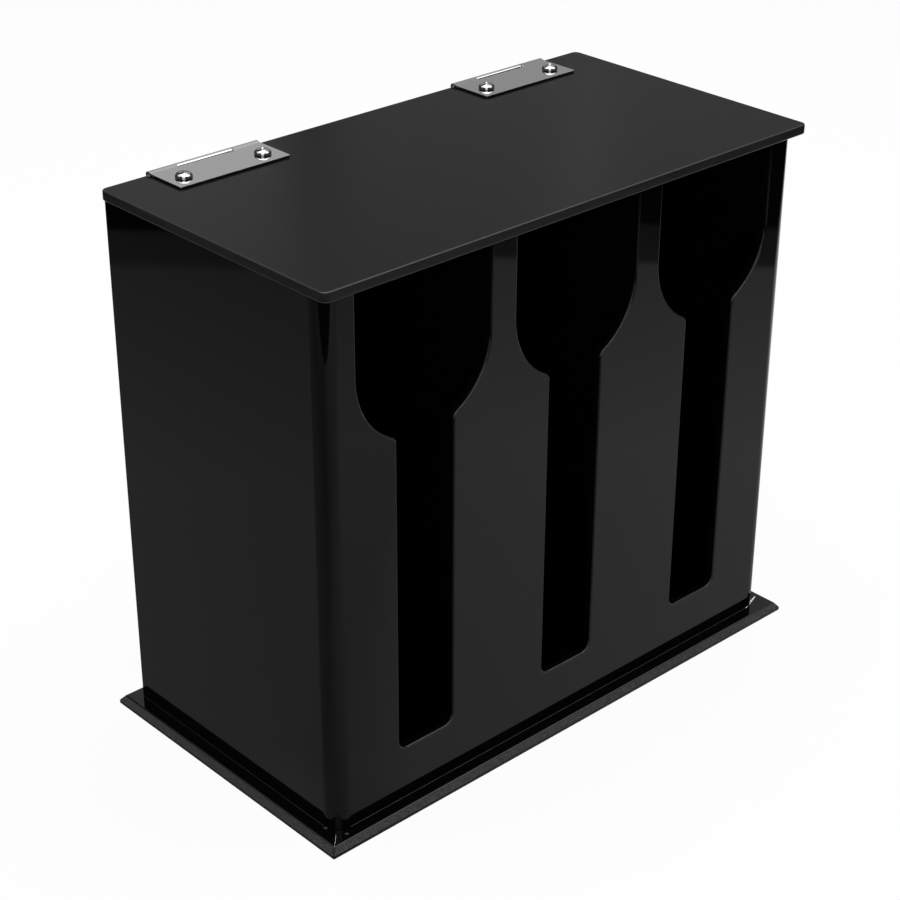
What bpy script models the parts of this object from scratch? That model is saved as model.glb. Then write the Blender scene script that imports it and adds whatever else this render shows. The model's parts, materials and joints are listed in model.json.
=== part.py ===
"""Countertop spoon holder: three bins behind one bent front, under a lid on two butt hinges.

Metres, +Z up. The front faces -Y, and the origin is the middle of the base plate's underside.
"""

import math

import bmesh
import bpy
from mathutils import Matrix

# Gaps and overruns
SEAT_GAP = 0.0003
RUNNING_GAP = 0.0003
THREAD_GAP = 0.00015
CUT_OVERRUN = 0.002

# Body: one sheet bent round the front and both sides, closed by a flat rear panel
BODY_WIDTH = 0.305
BODY_DEPTH = 0.155
WALL_HEIGHT = 0.2735
WALL_THICKNESS = 0.005
FRONT_CORNER_RADIUS = 0.009
DIVIDER_THICKNESS = 0.003
BIN_COUNT = 3

# Front slots: straight sides down to a round shoulder, then a narrow neck to the sill
EDGE_PIER_WIDTH = 0.018
INNER_PIER_WIDTH = 0.016
SLOT_NECK_WIDTH = 0.034
SLOT_SHOULDER_DROP = 0.0425
SLOT_SHOULDER_FILLET = 0.0035
SLOT_SILL_HEIGHT = 0.0281
SLOT_SILL_FILLET = 0.005

# Base plate: its edge is bevelled all round above a square lip
BASE_THICKNESS = 0.005
BASE_PROJECTION = 0.009
BASE_BEVEL_WIDTH = 0.0025
BASE_BEVEL_HEIGHT = 0.003

# Lid: a flat plate flush with the rear, overhanging the front and sides
LID_THICKNESS = 0.005
LID_FRONT_OVERHANG = 0.005
LID_SIDE_OVERHANG = 0.0025
LID_CORNER_RADIUS = 0.0035
LID_EDGE_CHAMFER = 0.0006
NOTCH_DEPTH_CLEARANCE = 0.00125
NOTCH_END_CLEARANCE = 0.0004

# Butt hinges: each leaf is pressed sheet, raised by a ramp and rolled round the pin
LEAF_FROM_SIDE = 0.0245
LEAF_LENGTH = 0.064
LEAF_REACH = 0.0255
LEAF_THICKNESS = 0.0008
LEAF_AXIS_OFFSET = 0.0004
LEAF_CORNER_RADIUS = 0.0005
RAMP_RADIUS = 0.003
RAMP_ANGLE = math.radians(12)
ROLL_ANGLE = math.radians(270)
MIDDLE_KNUCKLE_LENGTH = 0.032
WINDOW_CLEARANCE = 0.00325
PIN_DIAMETER = 0.0017
PIN_CLEARANCE = 0.0001
PIN_END_CHAMFER = 0.0003

# Pan-head machine screws and their hexagon nuts
SCREW_FROM_LEAF_END = 0.009
SCREW_REACH = 0.0158
SCREW_DIAMETER = 0.004
SCREW_LENGTH = 0.012
SCREW_HOLE_CLEARANCE = 0.00025
HEAD_DIAMETER = 0.009
HEAD_HEIGHT = 0.0026
HEAD_RIM_SHARE = 0.35
NUT_ACROSS_FLATS = 0.007
NUT_HEIGHT = 0.0032

# Facets
ARC_STEP = math.radians(6)
TURNED_STEPS = 24
SHARP_ANGLE = math.radians(30)
MERGE_SHARE = 0.01

# Heights and depths that several pieces share
WALL_BOTTOM = BASE_THICKNESS + SEAT_GAP
WALL_TOP = WALL_BOTTOM + WALL_HEIGHT
LID_BOTTOM = WALL_TOP + SEAT_GAP
LID_TOP = LID_BOTTOM + LID_THICKNESS
BODY_REAR = BODY_DEPTH / 2
AXIS_Y = BODY_REAR + SEAT_GAP - LEAF_AXIS_OFFSET
AXIS_Z = LID_TOP + SEAT_GAP - LEAF_AXIS_OFFSET
KNUCKLE_BORE = PIN_DIAMETER / 2 + PIN_CLEARANCE
KNUCKLE_RADIUS = KNUCKLE_BORE + LEAF_THICKNESS

# Slots side by side between the piers; the bins and dividers line up with them
SLOT_WIDTH = (BODY_WIDTH - 2 * EDGE_PIER_WIDTH - (BIN_COUNT - 1) * INNER_PIER_WIDTH) / BIN_COUNT
SLOT_PITCH = SLOT_WIDTH + INNER_PIER_WIDTH
SLOT_CENTRES = [(index - (BIN_COUNT - 1) / 2) * SLOT_PITCH for index in range(BIN_COUNT)]


def clear_scene():
    for existing in list(bpy.data.objects):
        bpy.data.objects.remove(existing, do_unlink=True)


def make_material(name, colour, roughness, metallic):
    material = bpy.data.materials.new(name)
    material.use_nodes = True
    shader = material.node_tree.nodes["Principled BSDF"]
    shader.inputs["Base Color"].default_value = (*colour, 1.0)
    shader.inputs["Roughness"].default_value = roughness
    shader.inputs["Metallic"].default_value = metallic
    return material


def gloss_acrylic():
    return make_material("gloss_black_acrylic", (0.006, 0.006, 0.007), 0.06, 0.0)


def satin_acrylic():
    return make_material("satin_black_acrylic", (0.012, 0.012, 0.013), 0.3, 0.0)


def pressed_steel():
    return make_material("pressed_stainless_steel", (0.52, 0.52, 0.53), 0.24, 1.0)


def plated_steel():
    return make_material("bright_plated_steel", (0.72, 0.72, 0.73), 0.12, 1.0)


def arc(centre, radius, start, end):
    """Points on a circle from angle start to angle end, both included."""
    steps = max(1, math.ceil(abs(end - start) / ARC_STEP))
    angles = [start + (end - start) * step / steps for step in range(steps + 1)]
    return [(centre[0] + radius * math.cos(a), centre[1] + radius * math.sin(a)) for a in angles]


def rounded_rectangle(low, high, radii):
    """Counter-clockwise outline; radii start at the low corner and go round the same way."""
    corners = [(low[0], low[1]), (high[0], low[1]), (high[0], high[1]), (low[0], high[1])]
    inward = [(1, 1), (-1, 1), (-1, -1), (1, -1)]
    outline = []
    for index, (corner, side, radius) in enumerate(zip(corners, inward, radii)):
        if radius == 0:
            outline.append(corner)
            continue
        centre = (corner[0] + side[0] * radius, corner[1] + side[1] * radius)
        start = math.pi + index * math.pi / 2
        outline += arc(centre, radius, start, start + math.pi / 2)
    return outline


def bent_strip(start, heading, steps, thickness):
    """Outline of a strip bent from sheet. A step is (length, None) or (middle radius, turn to the left)."""
    x, y = start
    left, right = [], []

    def mark():
        offset_x = -math.sin(heading) * thickness / 2
        offset_y = math.cos(heading) * thickness / 2
        left.append((x + offset_x, y + offset_y))
        right.append((x - offset_x, y - offset_y))

    mark()
    for size, turn in steps:
        if turn is None:
            x += size * math.cos(heading)
            y += size * math.sin(heading)
            mark()
            continue
        count = max(1, math.ceil(abs(turn) / ARC_STEP))
        side = math.copysign(1, turn)
        centre_x = x - side * size * math.sin(heading)
        centre_y = y + side * size * math.cos(heading)
        for _ in range(count):
            heading += turn / count
            x = centre_x + side * size * math.sin(heading)
            y = centre_y - side * size * math.cos(heading)
            mark()
    return left + right[::-1]


def add_prism(mesh, outline, axis, low, high):
    """Adds a closed prism: an outline in the other two axes, run from low to high along axis 0, 1 or 2."""
    ring = []
    for first, second in outline:
        point = [first, second]
        point.insert(axis, low)
        ring.append(mesh.verts.new(point))
    face = mesh.faces.new(ring)
    grown = bmesh.ops.extrude_face_region(mesh, geom=[face])
    moved = [item for item in grown["geom"] if isinstance(item, bmesh.types.BMVert)]
    run = [0.0, 0.0, 0.0]
    run[axis] = high - low
    bmesh.ops.translate(mesh, vec=run, verts=moved)


def add_box(mesh, low, high):
    outline = rounded_rectangle(low[:2], high[:2], [0] * 4)
    add_prism(mesh, outline, 2, low[2], high[2])


def add_turned(mesh, profile, place=Matrix.Identity(4)):
    """Adds a solid turned about Z from (radius, height) points, then moved by the matrix place."""
    earlier = set(mesh.verts)
    points = [mesh.verts.new((radius, 0.0, height)) for radius, height in profile]
    edges = [mesh.edges.new(pair) for pair in zip(points, points[1:])]
    bmesh.ops.spin(
        mesh,
        geom=points + edges,
        axis=(0, 0, 1),
        cent=(0, 0, 0),
        steps=TURNED_STEPS,
        angle=2 * math.pi,
    )
    made = [vertex for vertex in mesh.verts if vertex not in earlier]
    bmesh.ops.transform(mesh, matrix=place, verts=made)
    smallest = min(radius for radius, _ in profile if radius > 0)
    bmesh.ops.remove_doubles(mesh, verts=made, dist=smallest * MERGE_SHARE)


def finish_mesh(mesh, name):
    bmesh.ops.recalc_face_normals(mesh, faces=mesh.faces)
    data = bpy.data.meshes.new(name)
    mesh.to_mesh(data)
    mesh.free()
    data.shade_smooth()
    data.set_sharp_from_angle(angle=SHARP_ANGLE)
    return data


def add_object(name, mesh, material, parent=None, location=(0, 0, 0)):
    made = bpy.data.objects.new(name, finish_mesh(mesh, name))
    made.data.materials.append(material)
    made.parent = parent
    made.location = location
    bpy.context.scene.collection.objects.link(made)
    return made


def add_empty(name, location, rotation=(0, 0, 0), parent=None):
    empty = bpy.data.objects.new(name, None)
    empty.location = location
    empty.rotation_euler = rotation
    empty.parent = parent
    bpy.context.scene.collection.objects.link(empty)
    return empty


def cut(target, mesh):
    """Takes the closed solids of mesh, given in the target's own frame, out of the target."""
    cutter = bpy.data.objects.new(target.name + "_cutter", finish_mesh(mesh, target.name + "_cutter"))
    cutter.parent = target
    cutter.hide_render = True
    cutter.display_type = "WIRE"
    bpy.context.scene.collection.objects.link(cutter)
    boolean = target.modifiers.new("cut", "BOOLEAN")
    boolean.operation = "DIFFERENCE"
    boolean.solver = "EXACT"
    boolean.object = cutter


def slot_outline(centre):
    """One front slot in X and Z, from above the wall's top edge down to its sill, symmetric about centre."""
    shoulder = SLOT_WIDTH / 2
    neck = SLOT_NECK_WIDTH / 2
    shoulder_z = WALL_TOP - SLOT_SHOULDER_DROP
    sill_z = WALL_BOTTOM + SLOT_SILL_HEIGHT
    fillet_x = neck + SLOT_SHOULDER_FILLET
    fillet_z = shoulder_z - math.sqrt((shoulder + SLOT_SHOULDER_FILLET) ** 2 - fillet_x**2)
    meeting = math.atan2(fillet_z - shoulder_z, fillet_x)
    right = [(shoulder, WALL_TOP + CUT_OVERRUN)]
    right += arc((0, shoulder_z), shoulder, 0, meeting)
    right += arc((fillet_x, fillet_z), SLOT_SHOULDER_FILLET, meeting + math.pi, math.pi)[1:]
    corner = (neck - SLOT_SILL_FILLET, sill_z + SLOT_SILL_FILLET)
    right += arc(corner, SLOT_SILL_FILLET, 0, -math.pi / 2)
    left = [(-x, z) for x, z in reversed(right)]
    return [(centre + x, z) for x, z in right + left]


def base_plate(material):
    """Rectangular plate: square lip, then a bevel that narrows it to its flat top."""
    half_x = BODY_WIDTH / 2 + BASE_PROJECTION
    half_y = BODY_DEPTH / 2 + BASE_PROJECTION
    levels = [
        (0.0, 0.0),
        (0.0, BASE_THICKNESS - BASE_BEVEL_HEIGHT),
        (BASE_BEVEL_WIDTH, BASE_THICKNESS),
    ]
    mesh = bmesh.new()
    rings = []
    for inset, height in levels:
        low = (inset - half_x, inset - half_y)
        high = (half_x - inset, half_y - inset)
        outline = rounded_rectangle(low, high, [0] * 4)
        rings.append([mesh.verts.new((x, y, height)) for x, y in outline])
    mesh.faces.new(rings[0])
    mesh.faces.new(rings[-1])
    for lower, upper in zip(rings, rings[1:]):
        for index in range(len(lower)):
            after = (index + 1) % len(lower)
            mesh.faces.new((lower[index], lower[after], upper[after], upper[index]))
    add_object("base_plate", mesh, material)


def body_wrap(material):
    """Front and sides as one bent sheet with a slot for each bin, open at the top edge."""
    middle_radius = FRONT_CORNER_RADIUS - WALL_THICKNESS / 2
    side_run = BODY_DEPTH - FRONT_CORNER_RADIUS
    front_run = BODY_WIDTH - 2 * FRONT_CORNER_RADIUS
    bend = (middle_radius, math.pi / 2)
    start = (-BODY_WIDTH / 2 + WALL_THICKNESS / 2, BODY_REAR)
    steps = [(side_run, None), bend, (front_run, None), bend, (side_run, None)]
    mesh = bmesh.new()
    add_prism(mesh, bent_strip(start, -math.pi / 2, steps, WALL_THICKNESS), 2, WALL_BOTTOM, WALL_TOP)
    wrap = add_object("body_wrap", mesh, material)
    slots = bmesh.new()
    front = -BODY_REAR
    for centre in SLOT_CENTRES:
        outline = slot_outline(centre)
        add_prism(slots, outline, 1, front - CUT_OVERRUN, front + WALL_THICKNESS + CUT_OVERRUN)
    cut(wrap, slots)


def rear_panel(material):
    """Flat panel between the sides, flush with their rear edges, drilled for the hinge screws."""
    half_x = BODY_WIDTH / 2 - WALL_THICKNESS - SEAT_GAP
    mesh = bmesh.new()
    add_box(mesh, (-half_x, BODY_REAR - WALL_THICKNESS, WALL_BOTTOM), (half_x, BODY_REAR, WALL_TOP))
    panel = add_object("rear_panel", mesh, material)
    holes = bmesh.new()
    turned_out = Matrix.Rotation(-math.pi / 2, 4, "X")
    for hinge_x in hinge_places().values():
        for screw_x in screw_places():
            place = Matrix.Translation((hinge_x + screw_x, BODY_REAR, AXIS_Z - SCREW_REACH)) @ turned_out
            add_turned(holes, screw_hole(WALL_THICKNESS), place)
    cut(panel, holes)


def dividers(material):
    """Upright partitions, halfway between neighbouring slots, from the front wall to the rear panel."""
    front = -BODY_REAR + WALL_THICKNESS + SEAT_GAP
    rear = BODY_REAR - WALL_THICKNESS - SEAT_GAP
    places = [(left + right) / 2 for left, right in zip(SLOT_CENTRES, SLOT_CENTRES[1:])]
    for number, centre in enumerate(places, 1):
        low = (centre - DIVIDER_THICKNESS / 2, front, WALL_BOTTOM)
        high = (centre + DIVIDER_THICKNESS / 2, rear, WALL_TOP)
        mesh = bmesh.new()
        add_box(mesh, low, high)
        add_object(f"divider_{number}", mesh, material)


def lid(material, axis):
    """Plate with rounded corners and chamfered edges, notched and drilled for the hinges."""
    rear = BODY_REAR - AXIS_Y
    front = -BODY_REAR - LID_FRONT_OVERHANG - AXIS_Y
    half_x = BODY_WIDTH / 2 + LID_SIDE_OVERHANG
    low_z = LID_BOTTOM - AXIS_Z
    top_z = LID_TOP - AXIS_Z
    mesh = bmesh.new()
    outline = rounded_rectangle((-half_x, front), (half_x, rear), [LID_CORNER_RADIUS] * 4)
    add_prism(mesh, outline, 2, low_z, top_z)
    rims = [edge for edge in mesh.edges if edge.verts[0].co.z == edge.verts[1].co.z]
    bmesh.ops.bevel(mesh, geom=rims, offset=LID_EDGE_CHAMFER, segments=1, affect="EDGES")
    plate = add_object("lid", mesh, material, axis)
    openings = bmesh.new()
    notch = KNUCKLE_RADIUS + NOTCH_DEPTH_CLEARANCE
    half_notch = LEAF_LENGTH / 2 + NOTCH_END_CLEARANCE
    for hinge_x in hinge_places().values():
        low = (hinge_x - half_notch, -notch, low_z - CUT_OVERRUN)
        high = (hinge_x + half_notch, rear + CUT_OVERRUN, top_z + CUT_OVERRUN)
        add_box(openings, low, high)
        for screw_x in screw_places():
            place = Matrix.Translation((hinge_x + screw_x, -SCREW_REACH, top_z))
            add_turned(openings, screw_hole(LID_THICKNESS), place)
    cut(plate, openings)


def hinge_places():
    """X of each hinge's middle, in from the body's sides."""
    reach = BODY_WIDTH / 2 - LEAF_FROM_SIDE - LEAF_LENGTH / 2
    return {"left": -reach, "right": reach}


def screw_places():
    """X of each screw from its hinge's middle."""
    reach = LEAF_LENGTH / 2 - SCREW_FROM_LEAF_END
    return (-reach, reach)


def hole(radius, depth):
    """Turned profile of a round cutter that runs past a face at zero and past its far side at depth."""
    bottom = -depth - CUT_OVERRUN
    return [(0, CUT_OVERRUN), (radius, CUT_OVERRUN), (radius, bottom), (0, bottom)]


def screw_hole(depth):
    return hole(SCREW_DIAMETER / 2 + SCREW_HOLE_CLEARANCE, depth)


def leaf_outline():
    """Section of a leaf: flat, raised by a ramp, rolled over the pin. It lies along -Y, outer face up."""
    rise = KNUCKLE_BORE - LEAF_AXIS_OFFSET
    ramp_run = (rise - 2 * RAMP_RADIUS * (1 - math.cos(RAMP_ANGLE))) / math.sin(RAMP_ANGLE)
    raised = ramp_run * math.cos(RAMP_ANGLE) + 2 * RAMP_RADIUS * math.sin(RAMP_ANGLE)
    start = (-LEAF_REACH, LEAF_AXIS_OFFSET + LEAF_THICKNESS / 2)
    steps = [
        (LEAF_REACH - raised, None),
        (RAMP_RADIUS, RAMP_ANGLE),
        (ramp_run, None),
        (RAMP_RADIUS, -RAMP_ANGLE),
        (KNUCKLE_BORE + LEAF_THICKNESS / 2, -ROLL_ANGLE),
    ]
    return bent_strip(start, 0.0, steps, LEAF_THICKNESS)


def leaf(name, material, frame, cut_spans):
    """Leaf whose rolled edge is cut away over the given spans of its length."""
    mesh = bmesh.new()
    add_prism(mesh, leaf_outline(), 0, -LEAF_LENGTH / 2, LEAF_LENGTH / 2)
    free_end = min(vertex.co.y for vertex in mesh.verts)
    corners = [
        edge
        for edge in mesh.edges
        if all(vertex.co.y == free_end for vertex in edge.verts)
        and edge.verts[0].co.x == edge.verts[1].co.x
    ]
    bmesh.ops.bevel(
        mesh, geom=corners, offset=LEAF_CORNER_RADIUS, segments=4, profile=0.5, affect="EDGES"
    )
    made = add_object(name, mesh, material, frame)
    openings = bmesh.new()
    window = KNUCKLE_RADIUS + WINDOW_CLEARANCE
    reach = KNUCKLE_RADIUS + CUT_OVERRUN
    for low_x, high_x in cut_spans:
        add_box(openings, (low_x, -window, -reach), (high_x, reach, reach))
    for screw_x in screw_places():
        place = Matrix.Translation((screw_x, -SCREW_REACH, LEAF_AXIS_OFFSET + LEAF_THICKNESS))
        add_turned(openings, screw_hole(LEAF_THICKNESS), place)
    cut(made, openings)


def screws(name, material, frame):
    """Pan-head screws, seated with their heads on the leaf."""
    seat = LEAF_AXIS_OFFSET + LEAF_THICKNESS + SEAT_GAP
    head = HEAD_DIAMETER / 2
    crown = HEAD_HEIGHT * (1 - HEAD_RIM_SHARE)
    crown_radius = (head**2 + crown**2) / (2 * crown)
    spread = math.asin(head / crown_radius)
    dome = arc((0, HEAD_HEIGHT - crown_radius), crown_radius, math.pi / 2, math.pi / 2 - spread)
    shank = SCREW_DIAMETER / 2
    profile = [(0, HEAD_HEIGHT)] + dome[1:]
    profile += [(head, 0), (shank, 0), (shank, -SCREW_LENGTH), (0, -SCREW_LENGTH)]
    for number, screw_x in enumerate(screw_places(), 1):
        mesh = bmesh.new()
        add_turned(mesh, profile)
        add_object(f"{name}_{number}", mesh, material, frame, (screw_x, -SCREW_REACH, seat))


def nuts(name, material, frame, plate_thickness):
    """Hexagon nuts behind the plate that the leaf lies on."""
    seat = LEAF_AXIS_OFFSET - SEAT_GAP - plate_thickness - SEAT_GAP
    corner = NUT_ACROSS_FLATS / math.sqrt(3)
    angles = [math.radians(60) * side for side in range(6)]
    outline = [(corner * math.cos(angle), corner * math.sin(angle)) for angle in angles]
    for number, screw_x in enumerate(screw_places(), 1):
        mesh = bmesh.new()
        add_prism(mesh, outline, 2, -NUT_HEIGHT, 0)
        nut = add_object(f"{name}_{number}", mesh, material, frame, (screw_x, -SCREW_REACH, seat))
        bore = bmesh.new()
        add_turned(bore, hole(SCREW_DIAMETER / 2 + THREAD_GAP, NUT_HEIGHT))
        cut(nut, bore)


def pin(name, material, frame):
    """Pin through all the knuckles, chamfered at both ends."""
    radius = PIN_DIAMETER / 2
    half = LEAF_LENGTH / 2
    end = radius - PIN_END_CHAMFER
    profile = [(0.0, half), (end, half), (radius, half - PIN_END_CHAMFER)]
    profile += [(radius, PIN_END_CHAMFER - half), (end, -half), (0.0, -half)]
    mesh = bmesh.new()
    add_turned(mesh, profile, Matrix.Rotation(math.pi / 2, 4, "Y"))
    add_object(name, mesh, material, frame)


def hinge(side, centre, axis, sheet_metal, fastener_metal):
    """One butt hinge: the lid leaf has the outer knuckles and the rear leaf the middle one."""
    half = LEAF_LENGTH / 2
    middle = MIDDLE_KNUCKLE_LENGTH / 2
    outer = middle + RUNNING_GAP
    lid_frame = add_empty(f"{side}_lid_leaf_frame", (centre, 0, 0), parent=axis)
    folded_down = (-math.pi / 2, math.pi, 0)
    rear_frame = add_empty(f"{side}_rear_leaf_frame", (centre, AXIS_Y, AXIS_Z), folded_down)
    past = half + CUT_OVERRUN
    leaf(f"{side}_hinge_lid_leaf", sheet_metal, lid_frame, [(-outer, outer)])
    leaf(f"{side}_hinge_rear_leaf", sheet_metal, rear_frame, [(-past, -middle), (middle, past)])
    pin(f"{side}_hinge_pin", fastener_metal, lid_frame)
    screws(f"{side}_lid_screw", fastener_metal, lid_frame)
    nuts(f"{side}_lid_nut", fastener_metal, lid_frame, LID_THICKNESS)
    screws(f"{side}_rear_screw", fastener_metal, rear_frame)
    nuts(f"{side}_rear_nut", fastener_metal, rear_frame, WALL_THICKNESS)


def main():
    clear_scene()
    gloss = gloss_acrylic()
    sheet_metal = pressed_steel()
    fastener_metal = plated_steel()
    base_plate(gloss)
    body_wrap(gloss)
    rear_panel(gloss)
    dividers(gloss)
    lid_axis = add_empty("lid_axis", (0, AXIS_Y, AXIS_Z))
    lid(satin_acrylic(), lid_axis)
    for side, centre in hinge_places().items():
        hinge(side, centre, lid_axis, sheet_metal, fastener_metal)


main()
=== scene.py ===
"""Finishes a countertop spoon holder: acrylic sheets, pressed hinges, machine screws and a studio.

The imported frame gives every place, in metres with +Z up and the front towards -Y.
"""

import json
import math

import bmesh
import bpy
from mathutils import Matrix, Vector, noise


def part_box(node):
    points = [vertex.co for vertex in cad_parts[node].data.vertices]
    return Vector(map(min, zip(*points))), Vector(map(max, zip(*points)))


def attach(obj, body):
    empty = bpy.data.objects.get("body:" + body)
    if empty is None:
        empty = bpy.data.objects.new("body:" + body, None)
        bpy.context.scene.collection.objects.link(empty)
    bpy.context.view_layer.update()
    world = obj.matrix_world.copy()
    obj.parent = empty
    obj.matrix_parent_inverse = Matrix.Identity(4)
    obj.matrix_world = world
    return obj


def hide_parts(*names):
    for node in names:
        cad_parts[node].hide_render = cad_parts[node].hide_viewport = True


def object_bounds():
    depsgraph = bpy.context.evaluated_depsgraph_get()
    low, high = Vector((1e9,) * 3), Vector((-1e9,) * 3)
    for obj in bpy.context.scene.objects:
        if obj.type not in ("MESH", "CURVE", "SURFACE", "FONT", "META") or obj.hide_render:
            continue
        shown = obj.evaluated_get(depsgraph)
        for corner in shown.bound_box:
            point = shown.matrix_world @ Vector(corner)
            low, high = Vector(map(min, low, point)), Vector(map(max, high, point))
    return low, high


bl_info = {
    "name": "Spoon Holder Finish",
    "version": (1, 0, 0),
    "blender": (4, 5, 0),
    "location": "3D View > Sidebar > Spoon Holder",
    "description": "Builds the finished pieces, materials and studio of a spoon holder with a hinged lid",
    "category": "Object",
}

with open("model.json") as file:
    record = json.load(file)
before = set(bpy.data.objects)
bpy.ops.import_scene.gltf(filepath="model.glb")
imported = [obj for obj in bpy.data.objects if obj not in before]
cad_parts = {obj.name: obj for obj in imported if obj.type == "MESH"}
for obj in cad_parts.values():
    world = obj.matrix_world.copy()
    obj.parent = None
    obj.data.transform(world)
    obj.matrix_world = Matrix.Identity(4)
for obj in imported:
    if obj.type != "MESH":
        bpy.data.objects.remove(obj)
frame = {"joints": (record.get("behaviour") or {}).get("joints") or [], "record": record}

# What the frame says about each node
CAD_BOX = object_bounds()
NODE_BODIES = {node: body for body, nodes in frame["record"]["behaviour"]["bodies"].items() for node in nodes}
BASE_LOW, BASE_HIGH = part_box("base_plate")
WALL_LOW, WALL_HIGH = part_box("body_wrap")
LID_LOW, LID_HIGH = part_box("lid")
AXIS = Vector(frame["joints"][0]["pos_m"])
HINGE_SIDES = ("left", "right")

# Softboxes: name, heading from +Y towards +X and height over the horizon in degrees, distance, width
# and tallness, and the brightness, of which 1 looks white in a mirror
SOFTBOXES = (
    ("overhead_softbox", 0, 90, 1.9, 1.8, 1.8, 3.0),
    ("rear_left_softbox", 24.8, 28, 2.2, 0.8, 0.9, 0.37),
    ("rear_softbox", 43, 28, 2.2, 0.4, 0.9, 0.26),
    ("rear_right_softbox", 59, 28, 2.2, 0.8, 0.9, 0.26),
    ("front_softbox", 128, 57, 2.0, 1.3, 1.3, 1.5),
    ("left_softbox", -44, 57, 2.0, 1.3, 1.3, 1.0),
    ("camera_softbox", 222, 34, 2.2, 1.2, 1.9, 1.2),
    ("right_softbox", 80, 53, 2.0, 2.4, 0.9, 0.48),
)

# The floor's paper as sheets mirror it, a painted reflection of light and shade: distances across it and
# ahead along it, seen along this heading, each with the brightness painted at that place
PAPER_HEADING = math.radians(42.8)
MIRROR_LIGHT_ACROSS = (
    (-0.81, 0.0),
    (-0.8, 0.13),
    (-0.742, 0.16),
    (-0.728, 0.3),
    (-0.4, 0.45),
    (-0.13, 0.4),
    (0.0, 0.72),
    (0.35, 1.0),
    (0.65, 0.69),
    (0.66, 0.2),
    (0.73, 0.15),
    (0.74, 0.0),
)
MIRROR_LIGHT_AHEAD = (
    (-0.68, 0.0),
    (-0.672, 0.27),
    (-0.5, 0.22),
    (-0.3, 0.31),
    (-0.17, 0.28),
    (-0.13, 0.41),
    (0.12, 0.4),
    (0.3, 1.0),
)
# Share of its own white that the camera sees in the paper. The rest is lit, and holds the shadow.
PAPER_WHITE_SHARE = 0.93
PAPER_HALF = 8.0

# Facets of round stretches, of turned pieces, of a drop and of a rounded edge
ARC_STEP = math.radians(3)
TURNED_STEPS = 48
DROP_STEPS = 24
ROUND_SEGMENTS = 3

# An edge over which faces turn by more than this is rounded, or stays sharp to the eye
CORNER_ANGLE = math.radians(40)
SMOOTH_ANGLE = math.radians(35)

# Materials of a sheet, by number, and how far a face leans before it counts as part of an arris
# The arris material paints a highlight: a pale grey that lights the arrises as lines.
SHEET_FACE, CUT_EDGE, HIGHLIGHT_ARRIS = range(3)
ARRIS_TILT = 0.1

# How far a cutter reaches past its work, and how near two points merge, as a share of a size
CUT_OVERRUN = 0.001
MERGE_SHARE = 0.01

# Threads, as rows of points and depth in each pitch, and the chamfer on a nut
THREAD_ROWS = 4
THREAD_DEPTH = 0.54
NUT_CHAMFER = math.radians(30)

# Cement: a bead's step, its reach into the sheet and the arc points skipped in its hollow, then the
# ends of the white run that is a painted highlight, and the drops with their heading, in plan
BEAD_STEP = 0.001
BEAD_SINK = 0.00025
HOLLOW_STRIDE = 6
GLINT_RUN = ((0.1426, -0.0778), (0.1565, -0.0732))
NEAR_DROPS = {"side": (-0.1531, -0.0705), "front": (-0.1486, -0.0806)}
NEAR_DROP_HEADING = math.radians(-45)

# Width of a speck's soft rim, as a share of the noise's range, and the camera's near limit
SPECK_RIM = 0.04
CLIP_START = 0.05


def linear(hex_colour):
    """Linear RGBA of an sRGB hex colour."""
    channels = [int(hex_colour[start : start + 2], 16) / 255 for start in (1, 3, 5)]
    return [c / 12.92 if c <= 0.04045 else ((c + 0.055) / 1.055) ** 2.4 for c in channels] + [1.0]


def colour_property(name, description, hex_colour):
    """Property for one colour, given as sRGB hex."""
    return bpy.props.FloatVectorProperty(
        name=name,
        description=description,
        default=linear(hex_colour),
        size=4,
        min=0.0,
        max=1.0,
        subtype="COLOR",
    )


def length_property(name, description, default):
    """Property for one length in metres."""
    return bpy.props.FloatProperty(
        name=name, description=description, default=default, min=0.0, precision=5, subtype="DISTANCE"
    )


class SheetSizes(bpy.types.PropertyGroup):
    """Sheets of the case and the lid."""

    wall: length_property("Wall", "Thickness of the front, the sides and the rear", 0.005)
    corner_radius: length_property("Corner radius", "Outer radius of the bent front corners", 0.009)
    arris: length_property("Arris", "Rounding left on the polished edges", 0.0005)
    bevel_width: length_property("Bevel width", "Run of the bevel round the base plate", 0.0025)
    bevel_height: length_property("Bevel height", "Rise of the bevel round the base plate", 0.003)
    lid_corner_radius: length_property("Lid corner radius", "Radius of the lid's corners in plan", 0.0035)
    lid_arris: length_property("Lid arris", "Rounding along the lid's edges", 0.0007)
    notch_depth: length_property("Notch depth", "From the barrel to its notch's front in the lid", 0.00125)
    notch_end: length_property("Notch end", "From a barrel's end to its notch", 0.0004)


class SlotSizes(bpy.types.PropertyGroup):
    """Slots in the front, open at the top edge."""

    width: length_property("Width", "Width above the shoulder", 0.079)
    pitch: length_property("Pitch", "Distance between the middles of neighbouring slots", 0.095)
    neck: length_property("Neck", "Width of the straight neck", 0.034)
    shoulder_drop: length_property("Shoulder drop", "From the top edge to the shoulder's centre", 0.0425)
    shoulder_fillet: length_property("Shoulder fillet", "Radius where the shoulder meets the neck", 0.0035)
    sill_height: length_property("Sill height", "From the wall's foot to the slot's sill", 0.0281)
    sill_fillet: length_property("Sill fillet", "Radius of the sill's two corners", 0.005)
    arris: length_property("Slot arris", "Rounding that the polisher left round a slot", 0.001)


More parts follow.
